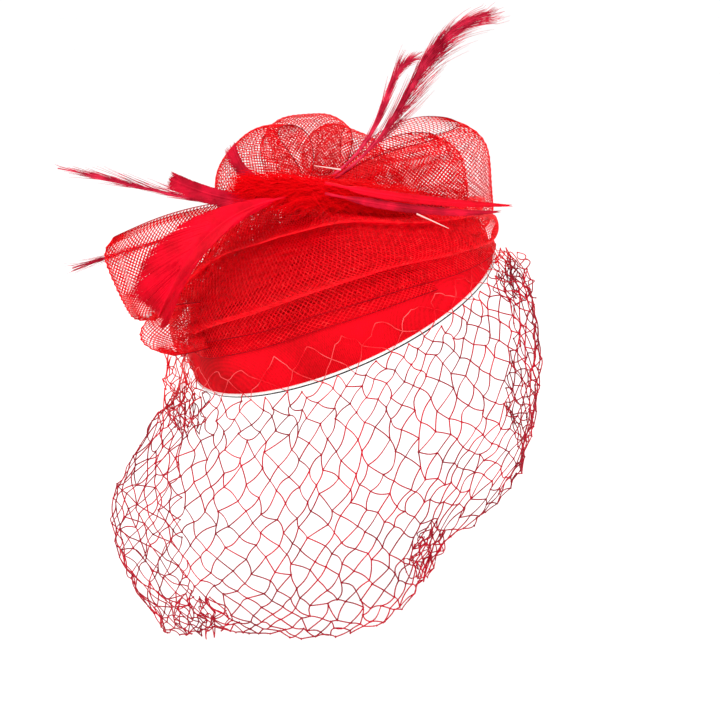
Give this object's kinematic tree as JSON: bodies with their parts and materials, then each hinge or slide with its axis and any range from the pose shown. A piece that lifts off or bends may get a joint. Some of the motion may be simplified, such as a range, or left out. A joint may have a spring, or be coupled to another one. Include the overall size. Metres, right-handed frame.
{
  "type": "fascinator headpiece",
  "caption": "Tilted domed hat base with a gathered open-weave ribbon bow, feathers, a diamond-net face veil and sprung hair clips inside the rim.",
  "frame": {"origin": "centre of the ring-shaped underside of the base, where it rests on the hair", "axes": "+Z is the wearer's up as worn, -Y the wearer's front, +X the wearer's left; the base's axis leans to -X and -Y"},
  "size_m": [0.228, 0.1878, 0.2989],
  "materials": {
    "shell": "satin",
    "cover": "matte",
    "lining": "matte",
    "crin": "satin",
    "binding": "matte",
    "feather": "matte",
    "crimson_feather": "satin",
    "marabou": "matte",
    "veil": "matte",
    "thread": "matte",
    "clip_steel": "satin",
    "spring_steel": "satin",
    "patch_felt": "matte"
  },
  "bodies": {
    "headpiece": {"base_shell": "shell", "base_cover": "cover", "felt_lining": "lining", "front_drape": "crin", "left_loop": "crin", "right_outer_loop": "crin", "right_inner_loop": "crin", "rosette_left_loop": "crin", "rosette_centre_loop": "crin", "rosette_right_loop": "crin", "back_loop": "crin", "centre_binding": "binding", "centre_stitches": "thread", "left_hackle": "crimson_feather", "cut_feather": "crimson_feather", "broad_feather": "feather", "low_hackle": "crimson_feather", "notched_feather": "crimson_feather", "tall_plume": "crimson_feather", "short_plume": "crimson_feather", "right_quill_upper": "feather", "right_quill_lower": "feather", "marabou_fluff": "marabou", "veil_net": "veil", "veil_gather_left": "veil", "veil_gather_right": "veil", "left_clip_leaf": "clip_steel", "left_clip_pin": "clip_steel", "left_clip_spring": "spring_steel", "left_clip_patch": "patch_felt", "right_clip_leaf": "clip_steel", "right_clip_pin": "clip_steel", "right_clip_spring": "spring_steel", "right_clip_patch": "patch_felt"},
    "left_lever": {"left_clip_lever": "clip_steel"},
    "right_lever": {"right_clip_lever": "clip_steel"}
  },
  "joints": [
    {"name": "right_clip_hinge", "type": "hinge", "parent": "headpiece", "child": "right_lever", "pos_m": [0.05838, 0.00123, 0.03244], "axis": [0.3859, 0.1934, -0.902], "range_deg": [0, 25], "stiffness_Nm_per_rad": 0.08, "springref_deg": -20.05},
    {"name": "left_clip_hinge", "type": "hinge", "parent": "headpiece", "child": "left_lever", "pos_m": [-0.0634, -0.00374, -0.02072], "axis": [0.3859, 0.1934, -0.902], "range_deg": [0, 25], "stiffness_Nm_per_rad": 0.08, "springref_deg": -20.05}
  ]
}
